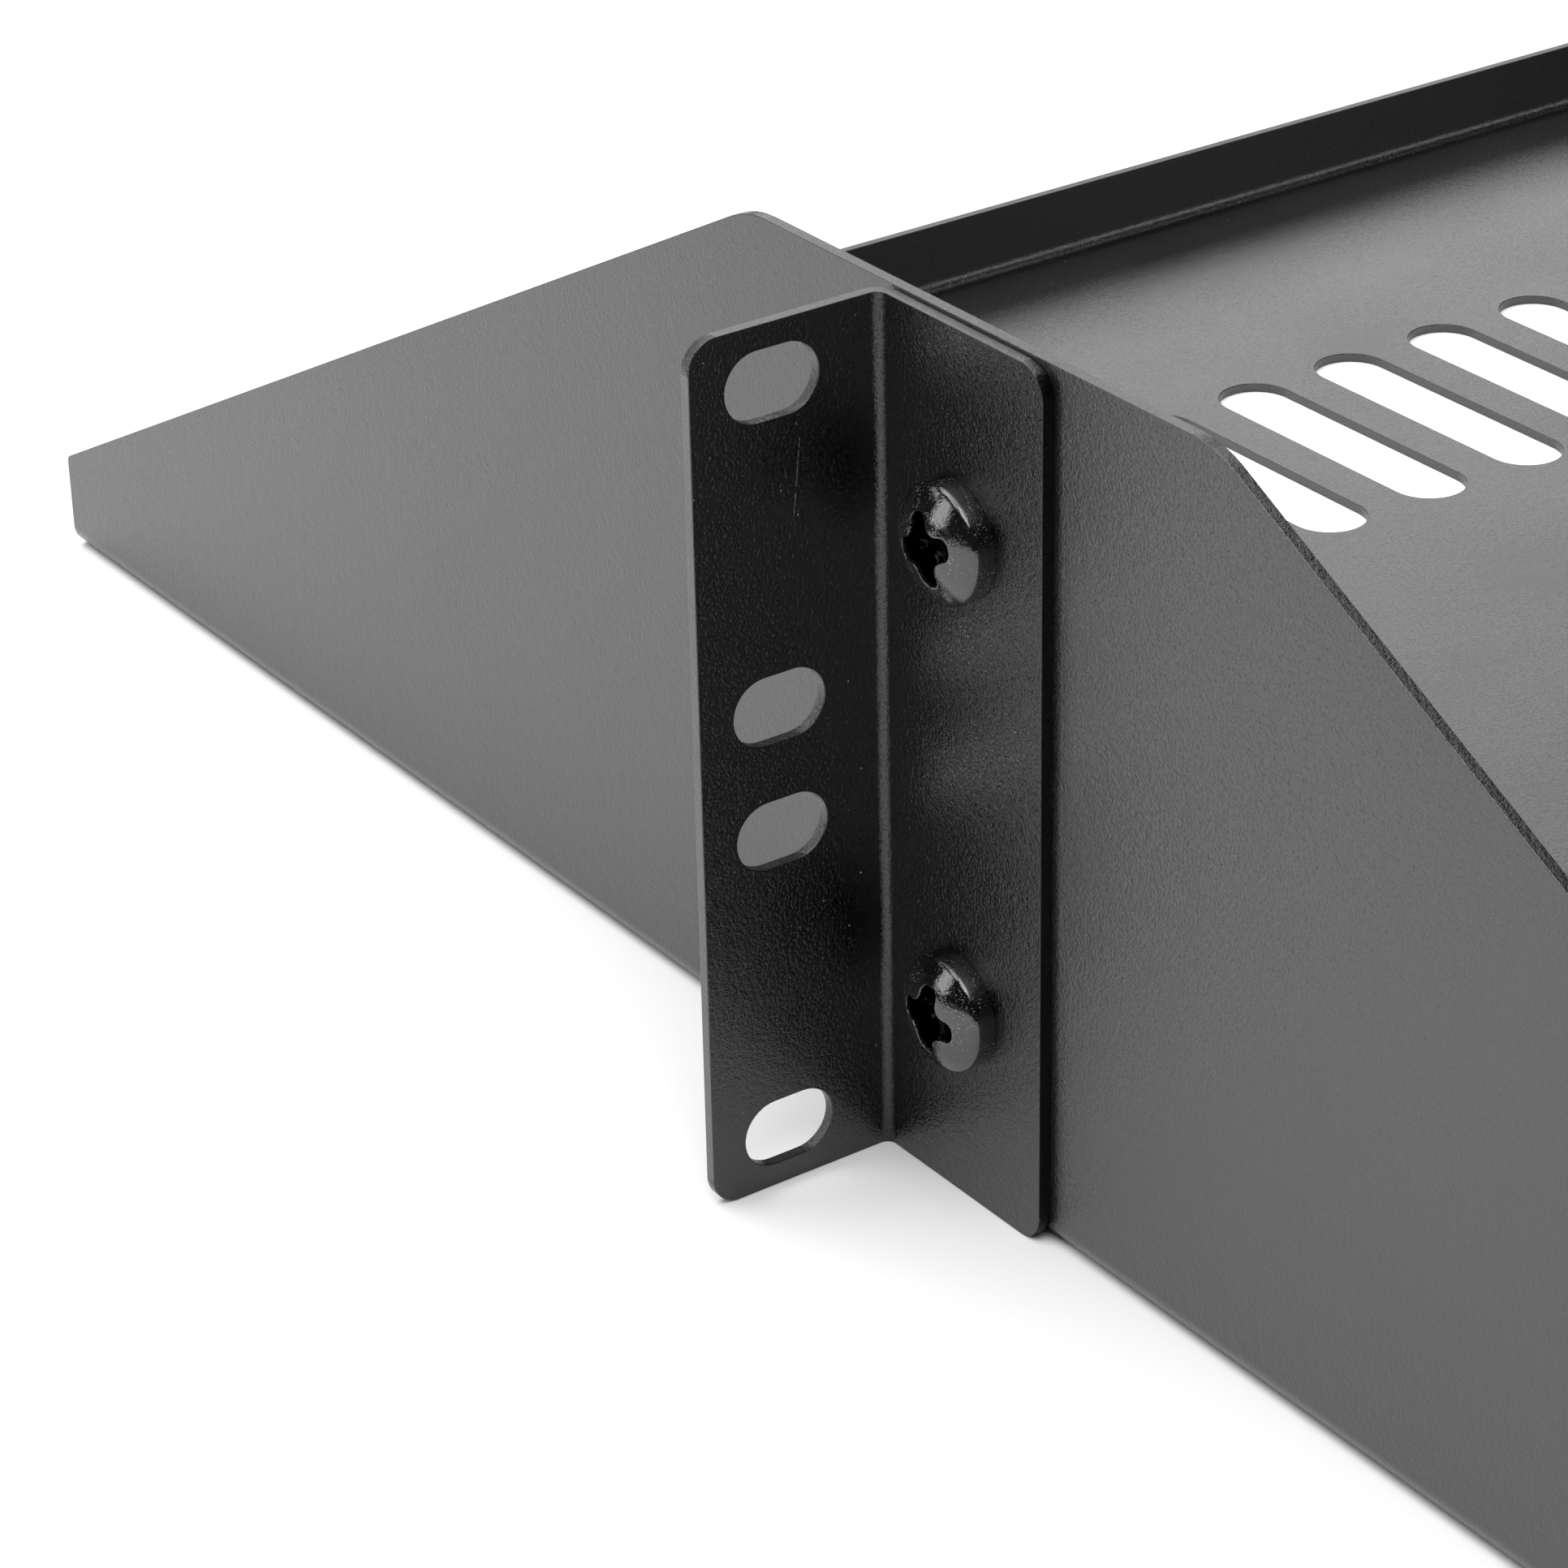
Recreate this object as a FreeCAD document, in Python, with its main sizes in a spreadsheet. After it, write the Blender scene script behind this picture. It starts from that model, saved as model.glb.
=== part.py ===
import FreeCAD, Part
import Sketcher
import os
from FreeCAD import Placement, Rotation, Vector

# A two-unit cantilever shelf for a 19 inch rack, held at the middle of its depth.
# One folded tray carries an L bracket on each side wall. Two pan head screws pass
# through each bracket into clinch nuts that are pressed in the wall.
#
# Frame: +X to the right, +Y to the rear, +Z up, millimetres. The origin is the
# middle of the tray's footprint, at the height of its underside.

SIZES = [
    # Rack standard: the width over the ears, and the slots' places on an ear
    ("panel_width", 482.6),
    ("mount_edge_distance", 8.75),
    ("mount_end_distance", 5.8),
    ("mount_inner_spacing", 12.7),
    # Tray, as wide as the ears' reach on each side leaves it
    ("ear_reach", 21.6),
    ("tray_depth", 360.0),
    ("tray_sheet", 1.2),
    ("fold_radius", 1.4),
    ("wall_height", 88.2),
    ("wall_end_height", 11.7),
    ("wall_top_length", 66.6),
    ("wall_peak_radius", 12.0),
    ("wall_end_radius", 1.0),
    ("lip_height", 10.3),
    ("slit_inset", 2.5),
    ("slit_width", 1.0),
    ("slit_depth", 4.0),
    # Vent slots in the deck
    ("vent_length", 42.0),
    ("vent_width", 9.7),
    ("vent_pitch", 16.0),
    ("vent_end_margin", 51.0),
    ("vent_side_margin", 50.0),
    # Brackets, as tall as the walls less a small step at the top
    ("bracket_top_step", 0.4),
    ("bracket_sheet", 1.2),
    ("bracket_leg_length", 24.6),
    ("bracket_fold_radius", 1.0),
    ("bracket_corner_radius", 3.0),
    ("mount_slot_length", 10.0),
    ("mount_slot_width", 6.8),
    # Screws and their holes in the brackets
    ("screw_spacing", 47.8),
    ("thread_diameter", 6.0),
    ("screw_length", 8.0),
    ("screw_tip_chamfer", 0.6),
    ("screw_hole_clearance", 0.3),
    ("head_diameter", 11.5),
    ("head_height", 4.3),
    ("head_rim_height", 2.2),
    ("recess_depth", 2.9),
    ("recess_span", 6.9),
    ("recess_width", 2.2),
    ("recess_floor_span", 3.4),
    ("recess_floor_width", 1.2),
    ("upper_recess_turn", 18.0),
    ("lower_recess_turn", -4.0),
    # Clinch nuts and their holes in the tray
    ("thread_clearance", 0.05),
    ("nut_collar_diameter", 8.7),
    ("nut_seat_clearance", 0.02),
    ("nut_body_diameter", 11.0),
    ("nut_body_height", 4.1),
    ("nut_chamfer", 0.5),
]

size = dict(SIZES)
doc = FreeCAD.newDocument("cantilever_shelf")
sheet = doc.addObject("Spreadsheet::Sheet", "Sizes")
for row, (alias, value) in enumerate(SIZES, start=1):
    sheet.set("A%d" % row, alias)
    sheet.set("B%d" % row, str(value))
    sheet.setAlias("B%d" % row, alias)
doc.recompute()

# The outer face of the tray's right wall, as a number and for the sheet's formulas
wall_face = size["panel_width"] / 2 - size["ear_reach"]
WALL_FACE = "(Sizes.panel_width / 2 - Sizes.ear_reach)"

# Half a bracket's height. The screws and the slots are placed from its middle.
half_bracket = (size["wall_height"] - size["bracket_top_step"]) / 2
HALF_BRACKET = "((Sizes.wall_height - Sizes.bracket_top_step) / 2)"

# Sketcher's numbers for the ends of a line or arc and its centre, then for the
# sketch's own axes and origin
START, END, CENTRE = range(1, 4)
ACROSS_AXIS, UP_AXIS = range(-1, -3, -1)
ORIGIN = (ACROSS_AXIS, START)

# Points closer than this are the same point
NEAR = 1e-4


def screw_height(level):
    """Gives the formula of the upper screws' height, or the lower ones'."""
    return "%s %s Sizes.screw_spacing / 2" % (HALF_BRACKET, "+" if level > 0 else "-")


# Sketch helpers

def plane_of(body, role):
    for feature in body.Origin.OriginFeatures:
        if feature.Role == role:
            return feature
    raise ValueError("no plane has the role " + role)


def add_body(label):
    body = doc.addObject("PartDesign::Body", label)
    body.Label = label
    return body


def add_sketch(body, name, role, lift=None):
    sketch = body.newObject("Sketcher::SketchObject", name)
    sketch.AttachmentSupport = (plane_of(body, role), [""])
    sketch.MapMode = "FlatFace"
    if lift:
        sketch.setExpression("AttachmentOffset.Base.z", lift)
    return sketch


def dimension(sketch, name, kind, first, second, expression):
    """Ties the level or upright distance between two points to the sheet."""
    gap = sketch.getPoint(*second) - sketch.getPoint(*first)
    value = gap.x if kind == "DistanceX" else gap.y
    if value < 0:
        first, second = second, first
        value = -value
    index = sketch.addConstraint(Sketcher.Constraint(kind, *first, *second, value))
    sketch.renameConstraint(index, name)
    sketch.setExpression("Constraints." + name, expression)


def radius(sketch, name, curve, expression):
    """Ties the radius of a circle or an arc to the sheet."""
    value = sketch.Geometry[curve].Radius
    index = sketch.addConstraint(Sketcher.Constraint("Radius", curve, value))
    sketch.renameConstraint(index, name)
    sketch.setExpression("Constraints." + name, expression)


def relate(sketch, kind, *handles):
    sketch.addConstraint(Sketcher.Constraint(kind, *handles))


def outline(sketch, points):
    """Draws a closed outline and holds its level and upright sides so. Gives the
    number of its first side."""
    first = len(sketch.Geometry)
    count = len(points)
    corners = [Vector(x, y, 0) for x, y in points]
    for index in range(count):
        sketch.addGeometry(Part.LineSegment(corners[index], corners[(index + 1) % count]))
    for index in range(count):
        relate(sketch, "Coincident", first + index, END, first + (index + 1) % count, START)
    for index in range(count):
        run = corners[(index + 1) % count] - corners[index]
        if abs(run.y) < NEAR:
            relate(sketch, "Horizontal", first + index)
        elif abs(run.x) < NEAR:
            relate(sketch, "Vertical", first + index)
    return first


def obround(sketch, name, low, high, width, width_of, low_at, high_at):
    """Draws a slot with round ends about the points low and high. low_at and
    high_at hold the expressions of their distances from the sketch's origin."""
    along = Vector(high[0] - low[0], high[1] - low[1], 0).normalize()
    side = Vector(-along.y, along.x, 0) * width / 2
    centres = [Vector(*low, 0), Vector(*high, 0)]
    first = len(sketch.Geometry)
    for centre, outward in zip(centres, (-along, along)):
        arc = Part.Arc(centre - side, centre + outward * width / 2, centre + side)
        sketch.addGeometry(arc)
    for turn in (-1, 1):
        sketch.addGeometry(Part.LineSegment(centres[0] + side * turn, centres[1] + side * turn))
    low_arc, high_arc, right_side, left_side = range(first, first + 4)
    for line, turn in ((right_side, -1), (left_side, 1)):
        for end, arc, centre in ((START, low_arc, centres[0]), (END, high_arc, centres[1])):
            meets = centre + side * turn
            arc_end = START if near(sketch.getPoint(arc, START), meets) else END
            relate(sketch, "Tangent", line, end, arc, arc_end)
    relate(sketch, "Equal", low_arc, high_arc)
    radius(sketch, name + "_radius", low_arc, width_of + " / 2")
    for arc, (x_of, y_of), end in ((low_arc, low_at, "low"), (high_arc, high_at, "high")):
        dimension(sketch, "%s_%s_x" % (name, end), "DistanceX", ORIGIN, (arc, CENTRE), x_of)
        dimension(sketch, "%s_%s_y" % (name, end), "DistanceY", ORIGIN, (arc, CENTRE), y_of)


def near(first, second):
    return first.distanceToPoint(second) < NEAR


def hole(sketch, name, height, diameter, radius_of, y_of):
    """Draws a round hole on the sketch's upright axis."""
    curve = sketch.addGeometry(Part.Circle(Vector(0, height, 0), Vector(0, 0, 1), diameter / 2))
    relate(sketch, "PointOnObject", curve, CENTRE, UP_AXIS)
    radius(sketch, name + "_radius", curve, radius_of)
    dimension(sketch, name + "_height", "DistanceY", ORIGIN, (curve, CENTRE), y_of)


# Feature helpers

def pad(body, name, sketch, length, symmetric=False):
    feature = body.newObject("PartDesign::Pad", name)
    feature.Profile = sketch
    if symmetric:
        feature.SideType = "Symmetric"
    feature.setExpression("Length", length)
    return feature


def cut_through(body, name, sketch):
    """Cuts a sketch's outline through the whole body, both ways."""
    feature = body.newObject("PartDesign::Pocket", name)
    feature.Profile = sketch
    feature.SideType = "Symmetric"
    feature.Type = "ThroughAll"
    return feature


def revolve(body, name, sketch):
    feature = body.newObject("PartDesign::Revolution", name)
    feature.Profile = sketch
    feature.ReferenceAxis = (sketch, ["V_Axis"])
    feature.Angle = 360
    return feature


def round_edges(body, name, radius_of, middles):
    """Rounds the edges of the body that have their middles at these points."""
    doc.recompute()
    base = body.Tip
    edges = []
    for number, edge in enumerate(base.Shape.Edges, start=1):
        if any(near(edge.BoundBox.Center, Vector(*middle)) for middle in middles):
            edges.append("Edge%d" % number)
    feature = body.newObject("PartDesign::Fillet", name)
    feature.Base = (base, edges)
    feature.setExpression("Radius", radius_of)
    return feature


def mirrored(x, y, z):
    """Gives a point and its mirror images to the other side and the other end."""
    return [(x * hand, y * end, z) for hand in (-1, 1) for end in (-1, 1)]


# Tray: a deck with two tall side walls, and a low lip at the front and the rear

def make_tray():
    body = add_body("shelf_tray")
    half_depth = size["tray_depth"] / 2
    sheet_metal = size["tray_sheet"]
    height = size["wall_height"]
    inner = wall_face - sheet_metal

    # Deck and walls, as one section along the depth
    section = add_sketch(body, "tray_section", "XZ_Plane")
    side = outline(section, [
        (-wall_face, 0), (wall_face, 0), (wall_face, height), (inner, height),
        (inner, sheet_metal), (-inner, sheet_metal), (-inner, height), (-wall_face, height)])
    bottom, right_wall, right_top, deck, left_top, left_wall = (
        side, side + 1, side + 2, side + 4, side + 6, side + 7)
    relate(section, "Symmetric", bottom, START, bottom, END, *ORIGIN)
    relate(section, "Equal", right_wall, left_wall)
    relate(section, "Equal", right_top, left_top)
    dimension(section, "width", "DistanceX", (bottom, START), (bottom, END), "2 * " + WALL_FACE)
    dimension(section, "height", "DistanceY", (right_wall, START), (right_wall, END),
              "Sizes.wall_height")
    dimension(section, "wall_sheet", "DistanceX", (right_top, START), (right_top, END),
              "Sizes.tray_sheet")
    dimension(section, "deck_sheet", "DistanceY", ORIGIN, (deck, START), "Sizes.tray_sheet")
    pad(body, "deck_and_walls", section, "Sizes.tray_depth", symmetric=True)

    # The walls slope down to the rear end
    slope = add_sketch(body, "wall_slope", "YZ_Plane")
    half_top = size["wall_top_length"] / 2
    side = outline(slope, [(half_top, height), (half_depth, size["wall_end_height"]),
                           (half_depth, height)])
    dimension(slope, "half_top", "DistanceX", ORIGIN, (side, START), "Sizes.wall_top_length / 2")
    dimension(slope, "top", "DistanceY", ORIGIN, (side, START), "Sizes.wall_height")
    dimension(slope, "half_depth", "DistanceX", ORIGIN, (side, END), "Sizes.tray_depth / 2")
    dimension(slope, "end_height", "DistanceY", ORIGIN, (side, END), "Sizes.wall_end_height")
    sloped = cut_through(body, "sloped_walls", slope)

    # The rear lip stands between the walls, clear of them by the slits
    lip_edge = inner - size["slit_inset"] - size["slit_width"]
    lip_edge_of = WALL_FACE + " - Sizes.tray_sheet - Sizes.slit_inset - Sizes.slit_width"
    lip_plan = add_sketch(body, "lip_plan", "XY_Plane")
    side = outline(lip_plan, [(-lip_edge, half_depth - sheet_metal),
                              (lip_edge, half_depth - sheet_metal),
                              (lip_edge, half_depth), (-lip_edge, half_depth)])
    dimension(lip_plan, "left_end", "DistanceX", ORIGIN, (side, START), lip_edge_of)
    dimension(lip_plan, "right_end", "DistanceX", ORIGIN, (side, END), lip_edge_of)
    dimension(lip_plan, "sheet_metal", "DistanceY", (side + 1, START), (side + 1, END),
              "Sizes.tray_sheet")
    dimension(lip_plan, "half_depth", "DistanceY", ORIGIN, (side + 1, END), "Sizes.tray_depth / 2")
    lip = pad(body, "lip", lip_plan, "Sizes.lip_height")

    # A slit at each end of the lip lets the two folds turn past each other
    slit_plan = add_sketch(body, "slit_plan", "XY_Plane")
    slit_end = half_depth - size["slit_depth"]
    for hand, name in ((-1, "left"), (1, "right")):
        side = outline(slit_plan, [
            (hand * lip_edge, slit_end), (hand * (lip_edge + size["slit_width"]), slit_end),
            (hand * (lip_edge + size["slit_width"]), half_depth), (hand * lip_edge, half_depth)])
        dimension(slit_plan, name + "_edge", "DistanceX", ORIGIN, (side, START), lip_edge_of)
        dimension(slit_plan, name + "_width", "DistanceX", (side, START), (side, END),
                  "Sizes.slit_width")
        dimension(slit_plan, name + "_depth", "DistanceY", (side + 1, START), (side + 1, END),
                  "Sizes.slit_depth")
        dimension(slit_plan, name + "_end", "DistanceY", ORIGIN, (side + 1, END),
                  "Sizes.tray_depth / 2")
    slits = cut_through(body, "slits", slit_plan)

    # The front end is the rear end mirrored
    front = body.newObject("PartDesign::Mirrored", "front_end")
    front.Originals = [sloped, lip, slits]
    front.MirrorPlane = (plane_of(body, "XZ_Plane"), [""])
    body.Tip = front

    # Folds, inside and out, then the cut corners of the walls
    round_edges(body, "inner_folds", "Sizes.fold_radius",
                mirrored(inner, 0, sheet_metal) + mirrored(0, half_depth - sheet_metal, sheet_metal))
    round_edges(body, "outer_folds", "Sizes.fold_radius + Sizes.tray_sheet",
                mirrored(wall_face, 0, 0) + mirrored(0, half_depth, 0))
    mid_wall = wall_face - sheet_metal / 2
    round_edges(body, "wall_peaks", "Sizes.wall_peak_radius", mirrored(mid_wall, half_top, height))
    round_edges(body, "wall_ends", "Sizes.wall_end_radius",
                mirrored(mid_wall, half_depth, size["wall_end_height"]))

    # Two rows of vent slots, one towards each end
    vents = add_sketch(body, "vent_plan", "XY_Plane")
    reach = (size["vent_length"] - size["vent_width"]) / 2
    row = half_depth - size["vent_end_margin"] - size["vent_length"] / 2
    per_side = int((wall_face - size["vent_side_margin"]) / size["vent_pitch"])
    first_x = -per_side * size["vent_pitch"]
    row_of = "Sizes.tray_depth / 2 - Sizes.vent_end_margin - Sizes.vent_length / 2"
    reach_of = "(Sizes.vent_length - Sizes.vent_width) / 2"
    per_side_of = "floor((%s - Sizes.vent_side_margin) / Sizes.vent_pitch)" % WALL_FACE
    first_of = per_side_of + " * Sizes.vent_pitch"
    for hand, name in ((-1, "front"), (1, "rear")):
        near_end = hand * (row - reach)
        far_end = hand * (row + reach)
        obround(vents, name, (first_x, near_end), (first_x, far_end), size["vent_width"],
                "Sizes.vent_width", (first_of, "%s - %s" % (row_of, reach_of)),
                (first_of, "%s + %s" % (row_of, reach_of)))
    first_pair = cut_through(body, "first_vents", vents)
    all_vents = body.newObject("PartDesign::LinearPattern", "vents")
    all_vents.Originals = [first_pair]
    all_vents.Direction = (vents, ["H_Axis"])
    all_vents.Mode = "Spacing"
    all_vents.setExpression("Offset", "Sizes.vent_pitch")
    all_vents.setExpression("Occurrences", "2 * %s + 1" % per_side_of)
    body.Tip = all_vents

    # Holes for the clinch nuts, through both walls
    nut_holes = add_sketch(body, "nut_hole_places", "YZ_Plane")
    for hand, name in ((-1, "lower"), (1, "upper")):
        hole(nut_holes, name, half_bracket + hand * size["screw_spacing"] / 2,
             size["nut_collar_diameter"] + 2 * size["nut_seat_clearance"],
             "Sizes.nut_collar_diameter / 2 + Sizes.nut_seat_clearance", screw_height(hand))
    cut_through(body, "nut_holes", nut_holes)
    return body


# Bracket: an L whose leg lies on the tray's wall and whose ear meets the rack

def make_bracket(label, turn):
    """Models the left bracket about its own mid height. A half turn about Y
    makes the right one."""
    body = add_body(label)
    ear_end = size["panel_width"] / 2
    metal = size["bracket_sheet"]
    leg_face = wall_face + metal
    half_leg = size["bracket_leg_length"] / 2

    section = add_sketch(body, label + "_section", "XY_Plane")
    side = outline(section, [
        (-wall_face, -half_leg), (-wall_face, half_leg), (-ear_end, half_leg),
        (-ear_end, half_leg - metal), (-leg_face, half_leg - metal), (-leg_face, -half_leg)])
    back, ear_back, ear_tip, ear_front, leg_front, leg_end = range(side, side + 6)
    for name, end in (("leg_front", START), ("leg_rear", END)):
        dimension(section, name, "DistanceY", ORIGIN, (back, end), "Sizes.bracket_leg_length / 2")
    dimension(section, "wall", "DistanceX", ORIGIN, (back, START), WALL_FACE)
    dimension(section, "ear_end", "DistanceX", ORIGIN, (ear_tip, START), "Sizes.panel_width / 2")
    dimension(section, "ear_sheet", "DistanceY", (ear_tip, START), (ear_tip, END),
              "Sizes.bracket_sheet")
    dimension(section, "leg_sheet", "DistanceX", (leg_end, START), (leg_end, END),
              "Sizes.bracket_sheet")
    pad(body, label + "_angle", section, "2 * " + HALF_BRACKET, symmetric=True)

    round_edges(body, label + "_inner_fold", "Sizes.bracket_fold_radius",
                [(-leg_face, half_leg - metal, 0)])
    round_edges(body, label + "_outer_fold", "Sizes.bracket_fold_radius + Sizes.bracket_sheet",
                [(-wall_face, half_leg, 0)])
    corners = []
    for end in (-half_bracket, half_bracket):
        corners.append((-ear_end, half_leg - metal / 2, end))
        corners.append((-wall_face - metal / 2, -half_leg, end))
    round_edges(body, label + "_corners", "Sizes.bracket_corner_radius", corners)

    # Four slots in the ear, on the rack's hole spacing
    slots = add_sketch(body, label + "_slot_places", "XZ_Plane")
    reach = (size["mount_slot_length"] - size["mount_slot_width"]) / 2
    column = size["mount_edge_distance"] - ear_end
    column_of = "(Sizes.panel_width / 2 - Sizes.mount_edge_distance)"
    reach_of = "(Sizes.mount_slot_length - Sizes.mount_slot_width) / 2"
    heights = [("outer", half_bracket - size["mount_end_distance"],
                HALF_BRACKET + " - Sizes.mount_end_distance"),
               ("inner", size["mount_inner_spacing"] / 2, "Sizes.mount_inner_spacing / 2")]
    for pair, height, height_of in heights:
        for hand, end in ((-1, "lower"), (1, "upper")):
            obround(slots, "%s_%s" % (pair, end), (column - reach, hand * height),
                    (column + reach, hand * height), size["mount_slot_width"],
                    "Sizes.mount_slot_width",
                    ("%s + %s" % (column_of, reach_of), height_of),
                    ("%s - %s" % (column_of, reach_of), height_of))
    cut_through(body, label + "_slots", slots)

    # Two clearance holes in the leg
    screw_holes = add_sketch(body, label + "_hole_places", "YZ_Plane")
    for hand, end in ((-1, "lower"), (1, "upper")):
        hole(screw_holes, end, hand * size["screw_spacing"] / 2,
             size["thread_diameter"] + 2 * size["screw_hole_clearance"],
             "Sizes.thread_diameter / 2 + Sizes.screw_hole_clearance", "Sizes.screw_spacing / 2")
    cut_through(body, label + "_screw_holes", screw_holes)

    body.Placement = Placement(Vector(), Rotation(Vector(0, 1, 0), turn))
    body.setExpression("Placement.Base.z", HALF_BRACKET)
    return body


# Screw: bearing face at its own height 0, head above, thread below

def make_screw(label, hand, level, turn):
    body = add_body(label)
    shank = size["thread_diameter"] / 2
    head = size["head_diameter"] / 2
    rim = size["head_rim_height"]
    top = size["head_height"]
    chamfer = size["screw_tip_chamfer"]
    length = size["screw_length"]

    # The crown is an arc about a point on the axis, so it is level at its top
    crown = (head ** 2 + (top - rim) ** 2) / (2 * (top - rim))
    half_profile = add_sketch(body, label + "_profile", "XZ_Plane")
    points = [(0, top), (0, -length), (shank - chamfer, -length), (shank, chamfer - length),
              (shank, 0), (head, 0), (head, rim)]
    for start, end in zip(points, points[1:]):
        half_profile.addGeometry(Part.LineSegment(Vector(*start, 0), Vector(*end, 0)))
    axis, tip, bevel, side, bearing, edge = range(6)
    low_angle = Vector(head, rim - (top - crown), 0)
    middle = Vector(0, top - crown, 0) + (low_angle + Vector(0, crown, 0)).normalize() * crown
    dome = half_profile.addGeometry(Part.Arc(Vector(head, rim, 0), middle, Vector(0, top, 0)))
    for line in range(axis, edge):
        relate(half_profile, "Coincident", line, END, line + 1, START)
    for line in (axis, side, edge):
        relate(half_profile, "Vertical", line)
    for line in (tip, bearing):
        relate(half_profile, "Horizontal", line)
    relate(half_profile, "Coincident", edge, END, dome, START)
    relate(half_profile, "Coincident", axis, START, dome, END)
    relate(half_profile, "PointOnObject", axis, START, UP_AXIS)
    relate(half_profile, "PointOnObject", dome, CENTRE, UP_AXIS)
    relate(half_profile, "PointOnObject", bearing, START, ACROSS_AXIS)
    dimension(half_profile, "top", "DistanceY", ORIGIN, (axis, START), "Sizes.head_height")
    dimension(half_profile, "length", "DistanceY", ORIGIN, (axis, END), "Sizes.screw_length")
    dimension(half_profile, "shank", "DistanceX", ORIGIN, (side, START),
              "Sizes.thread_diameter / 2")
    dimension(half_profile, "bevel_across", "DistanceX", (bevel, START), (bevel, END),
              "Sizes.screw_tip_chamfer")
    dimension(half_profile, "bevel_up", "DistanceY", (bevel, START), (bevel, END),
              "Sizes.screw_tip_chamfer")
    dimension(half_profile, "head", "DistanceX", ORIGIN, (edge, START), "Sizes.head_diameter / 2")
    dimension(half_profile, "rim", "DistanceY", (edge, START), (edge, END),
              "Sizes.head_rim_height")
    revolve(body, label + "_turned", half_profile)

    # Cross recess that narrows to its floor
    mouth = cross(body, label + "_recess_mouth", "recess_span", "recess_width",
                  "Sizes.head_height", turn)
    floor = cross(body, label + "_recess_floor", "recess_floor_span", "recess_floor_width",
                  "Sizes.head_height - Sizes.recess_depth", turn)
    recess = body.newObject("PartDesign::SubtractiveLoft", label + "_recess")
    recess.Profile = mouth
    recess.Sections = [floor]
    recess.Ruled = True

    body.Placement = Placement(Vector(), Rotation(Vector(0, 1, 0), 90 * hand))
    body.setExpression("Placement.Base.x", "%d * (%s + Sizes.bracket_sheet)" % (hand, WALL_FACE))
    body.setExpression("Placement.Base.z", screw_height(level))
    return body


def cross(body, name, span_alias, width_alias, lift, turn):
    """Draws a cross whose four arms are alike, turned about the screw's axis."""
    sketch = add_sketch(body, name, "XY_Plane", lift)
    sketch.setExpression("AttachmentOffset.Rotation.Angle", turn)
    span = size[span_alias] / 2
    arm = size[width_alias] / 2
    side = outline(sketch, [
        (arm, arm), (arm, span), (-arm, span), (-arm, arm), (-span, arm), (-span, -arm),
        (-arm, -arm), (-arm, -span), (arm, -span), (arm, -arm), (span, -arm), (span, arm)])
    ends = (side + 1, side + 4, side + 7, side + 10)
    for number, end in enumerate(ends):
        kind = "DistanceY" if number % 2 == 0 else "DistanceX"
        dimension(sketch, "span_%d" % number, kind, ORIGIN, (end, START),
                  "Sizes.%s / 2" % span_alias)
        other = "DistanceX" if number % 2 == 0 else "DistanceY"
        for corner, where in ((START, "first"), (END, "last")):
            dimension(sketch, "arm_%d_%s" % (number, where), other, ORIGIN, (end, corner),
                      "Sizes.%s / 2" % width_alias)
    return sketch


# Clinch nut: collar from the wall's outer face, shoulder on its inner face

def make_nut(label, hand, level):
    body = add_body(label)
    bore = size["thread_diameter"] / 2 + size["thread_clearance"]
    collar = size["nut_collar_diameter"] / 2
    outer = size["nut_body_diameter"] / 2
    shoulder = size["tray_sheet"]
    top = shoulder + size["nut_body_height"]
    chamfer = size["nut_chamfer"]

    half_profile = add_sketch(body, label + "_profile", "XZ_Plane")
    side = outline(half_profile, [
        (bore, 0), (collar, 0), (collar, shoulder), (outer, shoulder), (outer, top - chamfer),
        (outer - chamfer, top), (bore, top)])
    foot, collar_side, seat, body_side, bevel, end, bore_side = range(side, side + 7)
    relate(half_profile, "PointOnObject", foot, START, ACROSS_AXIS)
    dimension(half_profile, "bore", "DistanceX", ORIGIN, (foot, START),
              "Sizes.thread_diameter / 2 + Sizes.thread_clearance")
    dimension(half_profile, "collar", "DistanceX", ORIGIN, (foot, END),
              "Sizes.nut_collar_diameter / 2")
    dimension(half_profile, "shoulder", "DistanceY", ORIGIN, (collar_side, END),
              "Sizes.tray_sheet")
    dimension(half_profile, "outer", "DistanceX", ORIGIN, (seat, END),
              "Sizes.nut_body_diameter / 2")
    dimension(half_profile, "body_height", "DistanceY", (body_side, START), (bevel, END),
              "Sizes.nut_body_height")
    dimension(half_profile, "bevel_across", "DistanceX", (bevel, START), (bevel, END),
              "Sizes.nut_chamfer")
    dimension(half_profile, "bevel_up", "DistanceY", (bevel, START), (bevel, END),
              "Sizes.nut_chamfer")
    revolve(body, label + "_turned", half_profile)

    body.Placement = Placement(Vector(), Rotation(Vector(0, 1, 0), -90 * hand))
    body.setExpression("Placement.Base.x", "%d * %s" % (hand, WALL_FACE))
    body.setExpression("Placement.Base.z", screw_height(level))
    return body


# Assembly

parts = [make_tray(), make_bracket("left_bracket", 0), make_bracket("right_bracket", 180)]
for side_name, hand in (("left", -1), ("right", 1)):
    for level_name, level in (("upper", 1), ("lower", -1)):
        name = side_name + "_" + level_name
        turn = "Sizes.%s_recess_turn" % level_name
        parts.append(make_screw(name + "_screw", hand, level, turn))
        parts.append(make_nut(name + "_nut", hand, level))
doc.recompute()

for item in doc.Objects:
    if "Invalid" in item.State or "Error" in item.State:
        raise RuntimeError("%s did not build" % item.Name)
    if item.TypeId == "Sketcher::SketchObject" and not item.FullyConstrained:
        raise RuntimeError("%s is not fully constrained" % item.Name)
for item in parts:
    if item.Shape.isNull() or not item.Shape.isValid() or len(item.Shape.Solids) != 1:
        raise RuntimeError("%s is not one sound solid" % item.Label)

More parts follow.
